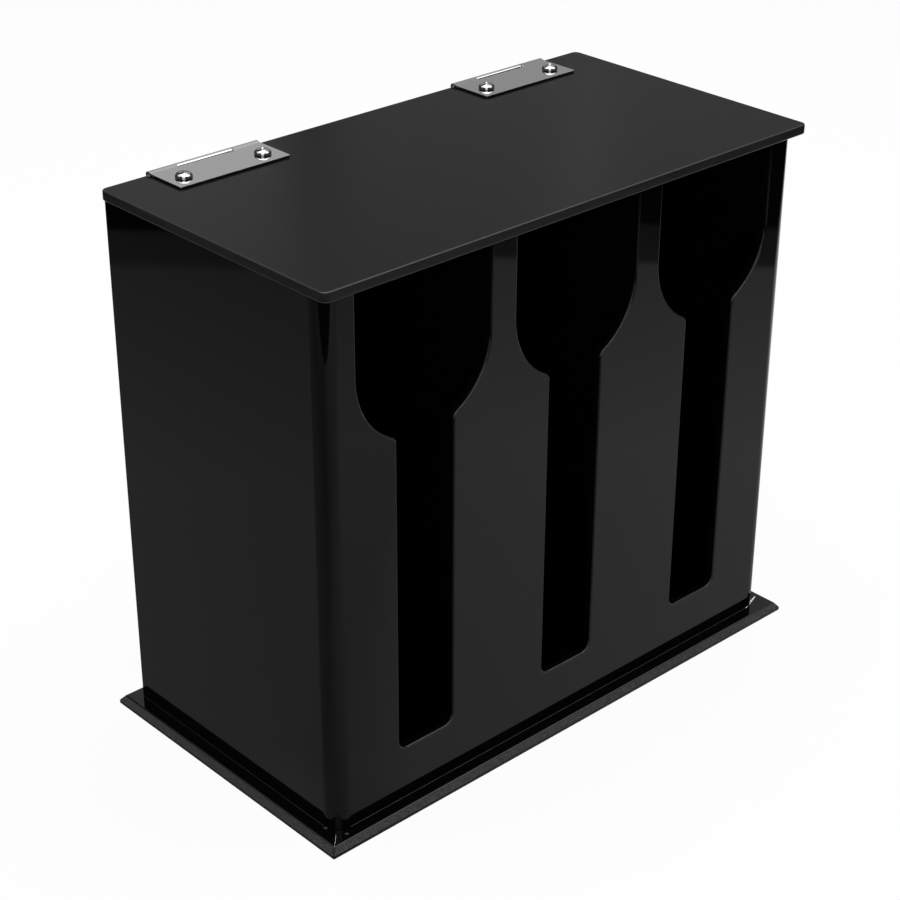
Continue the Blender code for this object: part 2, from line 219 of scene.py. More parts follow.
class HingeSizes(bpy.types.PropertyGroup):
    """Pressed leaves, rolled round a pin."""

    reach: length_property("Reach", "From the pin's axis to a leaf's free edge", 0.0255)
    length: length_property("Length", "Length of the pin and of the leaves", 0.064)
    gauge: length_property("Gauge", "Thickness of the pressed sheet", 0.0008)
    axis_offset: length_property("Axis offset", "From the pin's axis out to the leaf's inner face", 0.0004)
    corner_radius: length_property("Corner radius", "Radius of a leaf's free corners", 0.0006)
    arris: length_property("Arris", "Rounding on the pressed edges", 0.0002)
    ramp_radius: length_property("Ramp radius", "Bend at each end of the ramp up to the barrel", 0.003)
    ramp_angle: bpy.props.FloatProperty(
        name="Ramp angle", description="Slope of the ramp", default=math.radians(12), subtype="ANGLE"
    )
    roll_angle: bpy.props.FloatProperty(
        name="Roll angle", description="Turn round the pin", default=math.radians(270), subtype="ANGLE"
    )
    bore: length_property("Bore", "Inner radius of the rolled barrel", 0.00095)
    pin_radius: length_property("Pin radius", "Radius of the pin", 0.00085)
    middle_knuckle: length_property("Middle knuckle", "Length of the rear leaf's knuckle", 0.032)
    knuckle_gap: length_property("Knuckle gap", "Between neighbouring knuckles", 0.0003)
    window_clearance: length_property("Window clearance", "From the barrel to the window's edge", 0.0018)


class FastenerSizes(bpy.types.PropertyGroup):
    """Pan-head machine screws and hexagon nuts."""

    head_diameter: length_property("Head diameter", "Across the pan head", 0.0084)
    head_height: length_property("Head height", "From seat to crown", 0.0026)
    rim_share: bpy.props.FloatProperty(
        name="Rim share", description="Share of the head's height that its rim takes", default=0.1
    )
    recess_width: length_property("Recess width", "Across the wings of the cross recess", 0.0046)
    recess_slot: length_property("Recess slot", "Width of one wing of the cross recess", 0.0012)
    recess_depth: length_property("Recess depth", "Depth of the cross recess", 0.0018)
    thread_diameter: length_property("Thread diameter", "Over the thread's crests", 0.004)
    thread_pitch: length_property("Thread pitch", "From one crest to the next", 0.0007)
    length: length_property("Length", "From the seat to the end of the thread", 0.012)
    across_flats: length_property("Across flats", "Across two flats of a nut", 0.007)
    nut_height: length_property("Nut height", "From face to face of a nut", 0.0032)


class CementSizes(bpy.types.PropertyGroup):
    """Beads and drops of dried solvent cement."""

    leg: length_property("Leg", "How far the bead climbs and spreads along the walls", 0.00022)
    wander: length_property("Wander", "How much the bead swells and thins", 0.0001)
    wander_length: length_property("Wander length", "Distance from one swelling to the next", 0.006)
    # The white runs by the bends are painted highlights, laid as cement.
    glint_width: length_property("Glint width", "Width of the run that left the right bend", 0.0011)
    mitre_width: length_property("Mitre width", "Width of the run from the left bend outwards", 0.00016)
    drop: length_property("Drop", "Length of the drops by the left bend", 0.0028)


class Finish(bpy.types.PropertyGroup):
    """Colours, as they look in even light."""

    acrylic: colour_property("Acrylic", "Polished black sheet", "#060606")
    acrylic_dust: colour_property("Dust", "Specks that lie on the polished sheet", "#2a2a2c")
    cut_edge: colour_property("Cut edge", "Saw lines on the lid's edge", "#2a2a2c")
    # A painted highlight: the pale grey that lights the buffed arrises as lines.
    arris_highlight: colour_property("Highlight", "Buffed arrises of the lid and the slots' sills", "#3c3c3e")
    bevel: colour_property("Bevel", "Scraped bevel of the base plate", "#525253")
    bevel_scratch: colour_property("Bevel scratch", "Scraper marks on the bevel", "#1e1e1f")
    lid: colour_property("Lid", "Satin black sheet", "#070708")
    lid_dust: colour_property("Lid dust", "Fine dust in the satin grain", "#18181a")
    steel: colour_property("Steel", "Pressed stainless steel", "#e8e8e9")
    steel_dark: colour_property("Steel grain", "Darker lines in the rolled grain", "#d8d8d9")
    plating: colour_property("Plating", "Bright nickel plate", "#d9d8d6")
    plating_dark: colour_property("Plating shade", "Duller patches of the plate", "#bab8b4")
    cement: colour_property("Cement", "Dried solvent cement over black sheet", "#1d1d1f")
    # A painted highlight, laid as white cement on the base plate by the bends.
    painted_glint: colour_property("Glint cement", "Cement that dried white where it lay thick", "#f2f2f2")
    paper: colour_property("Paper", "White background paper", "#fbfbfb")
    paper_tooth: colour_property("Paper tooth", "Raised fibres of the paper", "#ffffff")


class Studio(bpy.types.PropertyGroup):
    """Camera and lamps."""

    camera_place: bpy.props.FloatVectorProperty(
        name="Camera place",
        description="Where the camera stands",
        default=(-0.6517, -0.6951, 0.6306),
        precision=4,
        subtype="TRANSLATION",
    )
    camera_heading: bpy.props.FloatProperty(
        name="Heading", description="Turn from +Y towards +X", default=math.radians(42.77), subtype="ANGLE"
    )
    camera_tilt: bpy.props.FloatProperty(
        name="Tilt", description="How far the camera looks down", default=math.radians(27.97), subtype="ANGLE"
    )
    camera_roll: bpy.props.FloatProperty(
        name="Roll", description="Turn about the line of sight", default=math.radians(0.186), subtype="ANGLE"
    )
    lens: bpy.props.FloatProperty(name="Lens", description="Focal length", default=84.536, unit="CAMERA")
    sky: bpy.props.FloatProperty(name="Sky", description="Brightness of the room's even light", default=0.06)
    lamps: bpy.props.FloatProperty(name="Lamps", description="Brightness of all softboxes", default=1.0)


class Holder(bpy.types.PropertyGroup):
    """All the sizes, colours and studio values."""

    sheets: bpy.props.PointerProperty(type=SheetSizes)
    slots: bpy.props.PointerProperty(type=SlotSizes)
    hinges: bpy.props.PointerProperty(type=HingeSizes)
    fasteners: bpy.props.PointerProperty(type=FastenerSizes)
    cement: bpy.props.PointerProperty(type=CementSizes)
    finish: bpy.props.PointerProperty(type=Finish)
    studio: bpy.props.PointerProperty(type=Studio)


# Outlines and paths


def arc(centre, radius, start, end):
    """Points on a circle from one angle to another, both included."""
    steps = max(1, math.ceil(abs(end - start) / ARC_STEP))
    angles = [start + (end - start) * step / steps for step in range(steps + 1)]
    return [(centre[0] + radius * math.cos(a), centre[1] + radius * math.sin(a)) for a in angles]


def rounded_rectangle(low, high, radius):
    """Counter-clockwise outline of a rectangle with four round corners."""
    centres = [
        (low[0] + radius, low[1] + radius),
        (high[0] - radius, low[1] + radius),
        (high[0] - radius, high[1] - radius),
        (low[0] + radius, high[1] - radius),
    ]
    outline = []
    for index, centre in enumerate(centres):
        start = math.pi + index * math.pi / 2
        outline += arc(centre, radius, start, start + math.pi / 2)
    return outline


def path_length(steps):
    """Length of a path of (length, None) for straight steps and (radius, turn) for bends."""
    return sum(size if turn is None else size * abs(turn) for size, turn in steps)


def path_stations(steps):
    """Distances along a path where a sheet bent to it needs a fold line, both ends left out."""
    distance = 0.0
    stations = []
    for size, turn in steps:
        run = size if turn is None else size * abs(turn)
        count = 1 if turn is None else max(1, math.ceil(abs(turn) / ARC_STEP))
        stations += [distance + run * (fold + 1) / count for fold in range(count)]
        distance += run
    return stations[:-1]


def path_point(path, distance):
    """Place and heading at a distance along a path: (start, heading, steps of length or radius and turn)."""
    (x, y), heading, steps = path
    for size, turn in steps:
        run = size if turn is None else size * abs(turn)
        part = min(distance, run)
        if turn is None:
            x += part * math.cos(heading)
            y += part * math.sin(heading)
        else:
            side = math.copysign(size, turn)
            turned = heading + part / side
            x += side * (math.sin(turned) - math.sin(heading))
            y -= side * (math.cos(turned) - math.cos(heading))
            heading = turned
        distance -= part
    return x, y, heading


# Meshes


def prism(outline, low, high):
    """Closed solid between two heights on one outline in X and Y."""
    mesh = bmesh.new()
    face = mesh.faces.new([mesh.verts.new((x, y, low)) for x, y in outline])
    grown = bmesh.ops.extrude_face_region(mesh, geom=[face])
    top = [item for item in grown["geom"] if isinstance(item, bmesh.types.BMVert)]
    bmesh.ops.translate(mesh, vec=(0, 0, high - low), verts=top)
    return mesh


def bent_sheet(outline, path, thickness, place):
    """Closed solid of a sheet cut to an outline of (along, across) points and bent along a path.

    place turns a point of the bending plane and its distance across into a point in space. The cut
    edges get the second material.
    """
    flat = bmesh.new()
    flat.faces.new([flat.verts.new((along, across, 0)) for along, across in outline])
    for station in path_stations(path[2]):
        geometry = flat.verts[:] + flat.edges[:] + flat.faces[:]
        bmesh.ops.bisect_plane(
            flat, geom=geometry, dist=thickness * MERGE_SHARE, plane_co=(station, 0, 0), plane_no=(1, 0, 0)
        )
    mesh = bmesh.new()
    layers = []
    for side in (thickness / 2, -thickness / 2):
        layer = {}
        for vertex in flat.verts:
            x, y, heading = path_point(path, vertex.co.x)
            point = place(x - side * math.sin(heading), y + side * math.cos(heading), vertex.co.y)
            layer[vertex] = mesh.verts.new(point)
        layers.append(layer)
    for face in flat.faces:
        for layer in layers:
            mesh.faces.new([layer[vertex] for vertex in face.verts])
    for edge in flat.edges:
        if edge.is_boundary:
            first, second = edge.verts
            corners = [layers[0][first], layers[0][second], layers[1][second], layers[1][first]]
            mesh.faces.new(corners).material_index = CUT_EDGE
    flat.free()
    bmesh.ops.recalc_face_normals(mesh, faces=mesh.faces)
    return mesh


def turned(profile):
    """Closed solid turned about Z from (radius, height) points that start and end on the axis."""
    mesh = bmesh.new()
    points = [mesh.verts.new((radius, 0, height)) for radius, height in profile]
    edges = [mesh.edges.new(pair) for pair in zip(points, points[1:])]
    bmesh.ops.spin(
        mesh,
        geom=points + edges,
        axis=(0, 0, 1),
        cent=(0, 0, 0),
        steps=TURNED_STEPS,
        angle=2 * math.pi,
    )
    smallest = min(radius for radius, _ in profile if radius > 0)
    bmesh.ops.remove_doubles(mesh, verts=mesh.verts, dist=smallest * MERGE_SHARE)
    bmesh.ops.recalc_face_normals(mesh, faces=mesh.faces)
    return mesh


def round_edges(mesh, radius, chosen=None):
    """Rounds every edge, or every chosen one, over which two faces meet at a corner."""
    corners = [edge for edge in mesh.edges if edge.is_manifold and edge.calc_face_angle() > CORNER_ANGLE]
    if chosen:
        corners = [edge for edge in corners if all(chosen(vertex.co) for vertex in edge.verts)]
    bmesh.ops.bevel(
        mesh,
        geom=corners,
        offset=radius,
        segments=ROUND_SEGMENTS,
        profile=0.5,
        affect="EDGES",
        clamp_overlap=True,
    )
    return mesh


def scratch_object(mesh):
    """Object for one Boolean. Its mesh is used up."""
    data = bpy.data.meshes.new("scratch")
    mesh.to_mesh(data)
    mesh.free()
    made = bpy.data.objects.new("scratch", data)
    bpy.context.scene.collection.objects.link(made)
    return made


def carved(mesh, tool, operation):
    """What a Boolean leaves of one closed mesh and a tool. Both are used up."""
    bmesh.ops.recalc_face_normals(mesh, faces=mesh.faces)
    bmesh.ops.recalc_face_normals(tool, faces=tool.faces)
    objects = [scratch_object(mesh), scratch_object(tool)]
    boolean = objects[0].modifiers.new("carve", "BOOLEAN")
    boolean.operation = operation
    boolean.solver = "EXACT"
    boolean.object = objects[1]
    result = bmesh.new()
    result.from_object(objects[0], bpy.context.evaluated_depsgraph_get())
    for used in objects:
        bpy.data.meshes.remove(used.data)
    return result


def add_object(name, mesh, materials):
    """Adds an object whose corners are sharp and whose flat faces look flat. Its mesh is used up."""
    data = bpy.data.meshes.new(name)
    mesh.to_mesh(data)
    mesh.free()
    data.shade_smooth()
    data.set_sharp_from_angle(angle=SMOOTH_ANGLE)
    for material in materials:
        data.materials.append(material)
    made = bpy.data.objects.new(name, data)
    bpy.context.scene.collection.objects.link(made)
    evened = made.modifiers.new("flat faces stay flat", "WEIGHTED_NORMAL")
    evened.keep_sharp = True
    return made


def add_finished(node, mesh, materials, place=Matrix.Identity(4)):
    """Adds the finished piece that stands for a CAD node, on that node's body, and hides the node."""
    piece = add_object(f"{node}_finished", mesh, materials)
    piece.matrix_world = place
    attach(piece, NODE_BODIES[node])
    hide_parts(node)


# Materials


def add_node(tree, kind, inputs=None, **settings):
    """Adds a node. inputs gives each socket, by name or number, a value or the socket that feeds it."""
    node = tree.nodes.new(kind)
    for name, value in settings.items():
        setattr(node, name, value)
    for socket, value in (inputs or {}).items():
        if isinstance(value, bpy.types.NodeSocket):
            tree.links.new(value, node.inputs[socket])
        else:
            node.inputs[socket].default_value = value
    return node


def new_material(name, **values):
    """Material with these values on its shader's own sockets, and its node tree, shader and coordinates."""
    material = bpy.data.materials.new(name)
    material.use_nodes = True
    tree = material.node_tree
    shader = tree.nodes["Principled BSDF"]
    for socket, value in values.items():
        shader.inputs[socket.replace("_", " ")].default_value = value
    place = add_node(tree, "ShaderNodeTexCoord").outputs["Object"]
    return material, tree, shader, place


def per_metre(millimetres):
    """Scale of a pattern whose cells are this many millimetres across."""
    return 1000 / millimetres


def speckled(tree, place, size_mm, threshold, plain, speck):
    """Colour socket: scattered specks of this size over a plain colour."""
    cells = add_node(
        tree, "ShaderNodeTexNoise", {"Vector": place, "Scale": per_metre(size_mm), "Detail": 1.0}
    )
    spots = add_node(
        tree,
        "ShaderNodeMapRange",
        {"Value": cells.outputs["Fac"], "From Min": threshold, "From Max": threshold + SPECK_RIM},
    )
    mixed = add_node(
        tree,
        "ShaderNodeMix",
        {"Factor": spots.outputs["Result"], "A": plain, "B": speck},
        data_type="RGBA",
    )
    return mixed.outputs["Result"]


def polished_cast_acrylic(finish):
    """Black PMMA sheet, cast and polished: deep black with soft-edged mirror images."""
    material, tree, shader, place = new_material("polished_cast_acrylic", IOR=1.49)
    # Dust lies in specks of about 0.3 mm. They are drawn at 1.2 mm, so that they show at all.
    colour = speckled(tree, place, 1.2, 0.78, list(finish.acrylic), list(finish.acrylic_dust))
    tree.links.new(colour, shader.inputs["Base Color"])
    # Wiping leaves faint haze 70 mm across, a hand's width, which blurs the mirror image unevenly.
    haze = add_node(tree, "ShaderNodeTexNoise", {"Vector": place, "Scale": per_metre(70), "Detail": 4.0})
    gloss = add_node(
        tree, "ShaderNodeMapRange", {"Value": haze.outputs["Fac"], "To Min": 0.015, "To Max": 0.045}
    )
    tree.links.new(gloss.outputs["Result"], shader.inputs["Roughness"])
    # Cast sheet is flat to the eye. A slow ripple, 40 mm long, bends straight reflections a little.
    ripple = add_node(tree, "ShaderNodeTexNoise", {"Vector": place, "Scale": per_metre(40), "Detail": 1.0})
    bump = add_node(
        tree,
        "ShaderNodeBump",
        {"Height": ripple.outputs["Fac"], "Strength": 0.3, "Distance": 0.00004},
    )
    tree.links.new(bump.outputs["Normal"], shader.inputs["Normal"])
    return material


def polished_cut_edge(finish):
    """The same sheet where a cutter has passed and a flame has smoothed it: black, a little rippled."""
    material, tree, shader, place = new_material("flame_polished_edge", IOR=1.49)
    shader.inputs["Base Color"].default_value = finish.acrylic
    # The flame draws the cutter's marks out into a ripple about 6 mm long.
    ripple = add_node(tree, "ShaderNodeTexNoise", {"Vector": place, "Scale": per_metre(6), "Detail": 2.0})
    gloss = add_node(
        tree, "ShaderNodeMapRange", {"Value": ripple.outputs["Fac"], "To Min": 0.1, "To Max": 0.2}
    )
    tree.links.new(gloss.outputs["Result"], shader.inputs["Roughness"])
    bump = add_node(
        tree, "ShaderNodeBump", {"Height": ripple.outputs["Fac"], "Strength": 0.2, "Distance": 0.0001}
    )
    tree.links.new(bump.outputs["Normal"], shader.inputs["Normal"])
    return material


def sawn_acrylic_edge(finish):
    """The lid's edge as the saw left it: dull black with fine lines that run along it."""
    material, tree, shader, place = new_material("sawn_acrylic_edge", IOR=1.49, Specular_IOR_Level=0.4)
    # A saw's lines are about 0.1 mm apart. They are drawn at 0.6 mm, so that they show at all.
    stretched = add_node(
        tree, "ShaderNodeMapping", {"Vector": place, "Scale": (per_metre(25), per_metre(25), per_metre(0.6))}
    )
    lines = add_node(
        tree, "ShaderNodeTexNoise", {"Vector": stretched.outputs["Vector"], "Scale": 1.0, "Detail": 3.0}
    )
    tone = add_node(
        tree,
        "ShaderNodeMix",
        {"Factor": lines.outputs["Fac"], "A": list(finish.acrylic), "B": list(finish.cut_edge)},
        data_type="RGBA",
    )
    tree.links.new(tone.outputs["Result"], shader.inputs["Base Color"])
    gloss = add_node(
        tree, "ShaderNodeMapRange", {"Value": lines.outputs["Fac"], "To Min": 0.2, "To Max": 0.5}
    )
    tree.links.new(gloss.outputs["Result"], shader.inputs["Roughness"])
    return material


def arris_painted_highlight(finish):
    """Arrises of the lid and of the sills, buffed on a wheel: a pale grey base colour paints a thin highlight
    line along them, and they catch the lamps too.
    """
    material, tree, shader, place = new_material("arris_painted_highlight", IOR=1.49)
    # Wheel marks are about 1 mm long. They are drawn at 1.5 mm, about three pixels.
    marks = add_node(tree, "ShaderNodeTexNoise", {"Vector": place, "Scale": per_metre(1.5), "Detail": 3.0})
    # The marks run between the dark dust colour and the painted highlight grey.
    tone = add_node(
        tree,
        "ShaderNodeMix",
        {"Factor": marks.outputs["Fac"], "A": list(finish.lid_dust), "B": list(finish.arris_highlight)},
        data_type="RGBA",
    )
    tree.links.new(tone.outputs["Result"], shader.inputs["Base Color"])
    gloss = add_node(
        tree, "ShaderNodeMapRange", {"Value": marks.outputs["Fac"], "To Min": 0.1, "To Max": 0.25}
    )
    tree.links.new(gloss.outputs["Result"], shader.inputs["Roughness"])
    return material


def scraped_acrylic_bevel(finish):
    """The base plate's bevel, scraped and buffed: brighter than the sheet, with a fine torn grain."""
    material, tree, shader, place = new_material("scraped_acrylic_bevel", IOR=1.49)
    # Scraper marks are about 0.2 mm apart. They are drawn at 0.7 mm, so that they show at all.
    marks = add_node(tree, "ShaderNodeTexNoise", {"Vector": place, "Scale": per_metre(0.7), "Detail": 3.0})
    torn = add_node(
        tree, "ShaderNodeMapRange", {"Value": marks.outputs["Fac"], "From Min": 0.35, "From Max": 0.65}
    )
    tone = add_node(
        tree,
        "ShaderNodeMix",
        {"Factor": torn.outputs["Result"], "A": list(finish.bevel_scratch), "B": list(finish.bevel)},
        data_type="RGBA",
    )
    tree.links.new(tone.outputs["Result"], shader.inputs["Base Color"])
    gloss = add_node(
        tree, "ShaderNodeMapRange", {"Value": marks.outputs["Fac"], "To Min": 0.4, "To Max": 0.6}
    )
    tree.links.new(gloss.outputs["Result"], shader.inputs["Roughness"])
    bump = add_node(
        tree, "ShaderNodeBump", {"Height": marks.outputs["Fac"], "Strength": 0.25, "Distance": 0.0001}
    )
    tree.links.new(bump.outputs["Normal"], shader.inputs["Normal"])
    return material


def satin_cast_acrylic(finish):
    """Black PMMA sheet cast against a matt mould: a fine even grain that spreads each reflection."""
    material, tree, shader, place = new_material("satin_cast_acrylic", IOR=1.49, Specular_IOR_Level=0.165)
    # Dust caught in the grain is about 0.2 mm across. It is drawn at 0.9 mm, so that it shows at all.
    colour = speckled(tree, place, 0.9, 0.72, list(finish.lid), list(finish.lid_dust))
    tree.links.new(colour, shader.inputs["Base Color"])
    # The mould's grain is about 0.1 mm. It is drawn at 0.7 mm, as fine as the render can show.
    grain = add_node(tree, "ShaderNodeTexNoise", {"Vector": place, "Scale": per_metre(0.7), "Detail": 3.0})
    gloss = add_node(
        tree, "ShaderNodeMapRange", {"Value": grain.outputs["Fac"], "To Min": 0.16, "To Max": 0.24}
    )
    tree.links.new(gloss.outputs["Result"], shader.inputs["Roughness"])
    bump = add_node(
        tree, "ShaderNodeBump", {"Height": grain.outputs["Fac"], "Strength": 0.12, "Distance": 0.00005}
    )
    tree.links.new(bump.outputs["Normal"], shader.inputs["Normal"])
    return material


def pressed_stainless_steel(finish):
    """Cold-rolled stainless sheet, pressed: nearly a mirror, drawn out along the rolling direction."""
    material, tree, shader, place = new_material("pressed_stainless_steel", Metallic=1.0)
    # Rolling lines are a few hundredths of a millimetre apart, and run along the hinge. They are
    # drawn 0.25 mm apart and 18 mm long, so that they show at all.
    stretched = add_node(
        tree,
        "ShaderNodeMapping",
        {"Vector": place, "Scale": (per_metre(18), per_metre(0.25), per_metre(0.25))},
    )
    lines = add_node(
        tree, "ShaderNodeTexNoise", {"Vector": stretched.outputs["Vector"], "Scale": 1.0, "Detail": 4.0}
    )
    tone = add_node(
        tree,
        "ShaderNodeMix",
        {"Factor": lines.outputs["Fac"], "A": list(finish.steel_dark), "B": list(finish.steel)},
        data_type="RGBA",
    )
    tree.links.new(tone.outputs["Result"], shader.inputs["Base Color"])
    gloss = add_node(
        tree, "ShaderNodeMapRange", {"Value": lines.outputs["Fac"], "To Min": 0.03, "To Max": 0.08}
    )
    tree.links.new(gloss.outputs["Result"], shader.inputs["Roughness"])
    return material


def bright_nickel_plate(finish):
    """Nickel on turned and headed steel: bright, with a little dulling where it was handled."""
    material, tree, shader, place = new_material("bright_nickel_plate", Metallic=1.0)
    # Fingers and drivers dull it in patches of 2.5 mm.
    patches = add_node(
        tree, "ShaderNodeTexNoise", {"Vector": place, "Scale": per_metre(2.5), "Detail": 3.0}
    )
    tone = add_node(
        tree,
        "ShaderNodeMix",
        {"Factor": patches.outputs["Fac"], "A": list(finish.plating_dark), "B": list(finish.plating)},
        data_type="RGBA",
    )
    tree.links.new(tone.outputs["Result"], shader.inputs["Base Color"])
    gloss = add_node(
        tree, "ShaderNodeMapRange", {"Value": patches.outputs["Fac"], "To Min": 0.06, "To Max": 0.16}
    )
    tree.links.new(gloss.outputs["Result"], shader.inputs["Roughness"])
    return material


def dried_solvent_cement(finish):
    """Clear acrylic cement, dried against black sheet: wet-looking, and bright where it turns."""
    material, tree, shader, place = new_material("dried_solvent_cement", IOR=1.49)
    # Trapped bubbles show the black sheet through it in spots of 0.8 mm.
    colour = speckled(tree, place, 0.8, 0.6, list(finish.cement), list(finish.acrylic))
    tree.links.new(colour, shader.inputs["Base Color"])
    # The skin puckers every 1.5 mm as it dries.
    skin = add_node(tree, "ShaderNodeTexNoise", {"Vector": place, "Scale": per_metre(1.5), "Detail": 2.0})
    gloss = add_node(
        tree, "ShaderNodeMapRange", {"Value": skin.outputs["Fac"], "To Min": 0.05, "To Max": 0.2}
    )
    tree.links.new(gloss.outputs["Result"], shader.inputs["Roughness"])
    return material


def cement_painted_glint(finish):
    """White cement runs that are painted highlights: a glint by the right bend and a bright line on the left
    bend's mitre, with a skin.
    """
    material, tree, shader, place = new_material("cement_painted_glint", IOR=1.49)
    shader.inputs["Base Color"].default_value = finish.painted_glint
    # The skin puckers every 1.5 mm as it dries.
    skin = add_node(tree, "ShaderNodeTexNoise", {"Vector": place, "Scale": per_metre(1.5), "Detail": 2.0})
    gloss = add_node(
        tree, "ShaderNodeMapRange", {"Value": skin.outputs["Fac"], "To Min": 0.15, "To Max": 0.35}
    )
    tree.links.new(gloss.outputs["Result"], shader.inputs["Roughness"])
    return material


def matt_studio_paper(finish):
    """White background paper, uncoated and matt: plain white to the eye, with the object's soft shadow.

    The object mirrors it as a painted reflection that two ramps give: painted light and shade, less bright
    than white and dark towards the ramps' ends.
    """
    material, tree, shader, place = new_material("matt_studio_paper", Roughness=0.9, Specular_IOR_Level=0.0)
    # The paper's tooth is about 0.3 mm. It is drawn at 3 mm, so that it shows at all.
    tooth = add_node(tree, "ShaderNodeTexNoise", {"Vector": place, "Scale": per_metre(3), "Detail": 2.0})
    paper = add_node(
        tree,
        "ShaderNodeMix",
        {"Factor": tooth.outputs["Fac"], "A": list(finish.paper), "B": list(finish.paper_tooth)},
        data_type="RGBA",
    )
    tree.links.new(paper.outputs["Result"], shader.inputs["Base Color"])
    facing = add_node(
        tree, "ShaderNodeVectorRotate", {"Vector": place, "Angle": PAPER_HEADING}, rotation_type="Z_AXIS"
    )
    distances = add_node(tree, "ShaderNodeSeparateXYZ", {"Vector": facing.outputs["Vector"]})
    painted_mirror_light = []
    for output, stops in (("X", MIRROR_LIGHT_ACROSS), ("Y", MIRROR_LIGHT_AHEAD)):
        low, high = stops[0][0], stops[-1][0]
        position = add_node(
            tree,
            "ShaderNodeMapRange",
            {"Value": distances.outputs[output], "From Min": low, "From Max": high},
        )
        ramp = add_node(tree, "ShaderNodeValToRGB", {"Fac": position.outputs["Result"]})
        elements = ramp.color_ramp.elements
        for stop, (distance, tone) in enumerate(stops):
            if stop == len(elements):
                elements.new(1.0)
            elements[stop].position = (distance - low) / (high - low)
            elements[stop].color = (tone, tone, tone, 1.0)
        painted_mirror_light.append(ramp.outputs["Color"])
    # The two ramps multiply into the paper's painted reflection: painted light and shade that only mirror
    # rays see.
    dimmed = add_node(
        tree,
        "ShaderNodeMix",
        {"Factor": 1.0, "A": painted_mirror_light[0], "B": painted_mirror_light[1]},
        data_type="RGBA",
        blend_type="MULTIPLY",
    )
    ray = add_node(tree, "ShaderNodeLightPath")
    glowing = add_node(
        tree,
        "ShaderNodeMix",
        {
            "Factor": ray.outputs["Is Camera Ray"],
            "A": dimmed.outputs["Result"],
            "B": list(finish.paper_tooth),
        },
        data_type="RGBA",
    )
    glow = add_node(tree, "ShaderNodeEmission", {"Color": glowing.outputs["Result"], "Strength": 1.0})
    mirrors = add_node(
        tree,
        "ShaderNodeMath",
        {0: ray.outputs["Is Glossy Ray"], 1: ray.outputs["Is Transmission Ray"]},
        operation="ADD",
    )
    # The camera sees the white with a little of the lit paper left in it, which holds the shadow.
    share = add_node(
        tree,
        "ShaderNodeMath",
        {0: ray.outputs["Is Camera Ray"], 1: PAPER_WHITE_SHARE, 2: mirrors.outputs["Value"]},
        operation="MULTIPLY_ADD",
    )
    surface = add_node(
        tree,
        "ShaderNodeMixShader",
        {0: share.outputs["Value"], 1: shader.outputs["BSDF"], 2: glow.outputs["Emission"]},
    )
    output = tree.nodes["Material Output"]
    tree.links.new(surface.outputs["Shader"], output.inputs["Surface"])
    return material


MATERIALS = {}


def material_for(maker, holder):
    """Makes each material once."""
    if maker not in MATERIALS:
        MATERIALS[maker] = maker(holder.finish)
    return MATERIALS[maker]


# Operators, one for each group of pieces


class HOLDER_OT_base(bpy.types.Operator):
    """Base plate with its bevelled edge"""

    bl_idname = "holder.base"
    bl_label = "Base Plate"

    def execute(self, context):
        holder = context.scene.holder
        sizes = holder.sheets
        levels = [
            (0.0, BASE_LOW.z),
            (0.0, BASE_HIGH.z - sizes.bevel_height),
            (sizes.bevel_width, BASE_HIGH.z),
        ]
        mesh = bmesh.new()
        rings = []
        for inset, height in levels:
            corners = [
                (BASE_LOW.x + inset, BASE_LOW.y + inset),
                (BASE_HIGH.x - inset, BASE_LOW.y + inset),
                (BASE_HIGH.x - inset, BASE_HIGH.y - inset),
                (BASE_LOW.x + inset, BASE_HIGH.y - inset),
            ]
            rings.append([mesh.verts.new((x, y, height)) for x, y in corners])
        mesh.faces.new(rings[0])
        mesh.faces.new(rings[-1])
        for level, (lower, upper) in enumerate(zip(rings, rings[1:])):
            for side in range(len(lower)):
                after = (side + 1) % len(lower)
                face = mesh.faces.new((lower[side], lower[after], upper[after], upper[side]))
                face.material_index = level
        bmesh.ops.recalc_face_normals(mesh, faces=mesh.faces)
        round_edges(mesh, sizes.arris)
        materials = [material_for(polished_cast_acrylic, holder), material_for(scraped_acrylic_bevel, holder)]
        add_finished("base_plate", mesh, materials)
        return {"FINISHED"}


def slot_notch(slots, centre, top, foot):
    """One slot's outline from its right-hand top corner down round its sill and up to the left."""
    shoulder = slots.width / 2
    neck = slots.neck / 2
    fillet = slots.shoulder_fillet
    shoulder_z = top - slots.shoulder_drop
    fillet_x = neck + fillet
    fillet_z = shoulder_z - math.sqrt((shoulder + fillet) ** 2 - fillet_x**2)
    meeting = math.atan2(fillet_z - shoulder_z, fillet_x)
    right = [(shoulder, top)]
    right += arc((0, shoulder_z), shoulder, 0, meeting)
    right += arc((fillet_x, fillet_z), fillet, meeting + math.pi, math.pi)[1:]
    sill_z = foot + slots.sill_height
    corner = (neck - slots.sill_fillet, sill_z + slots.sill_fillet)
    right += arc(corner, slots.sill_fillet, 0, -math.pi / 2)
    left = [(-x, z) for x, z in reversed(right)]
    return [(centre + x, z) for x, z in right + left]


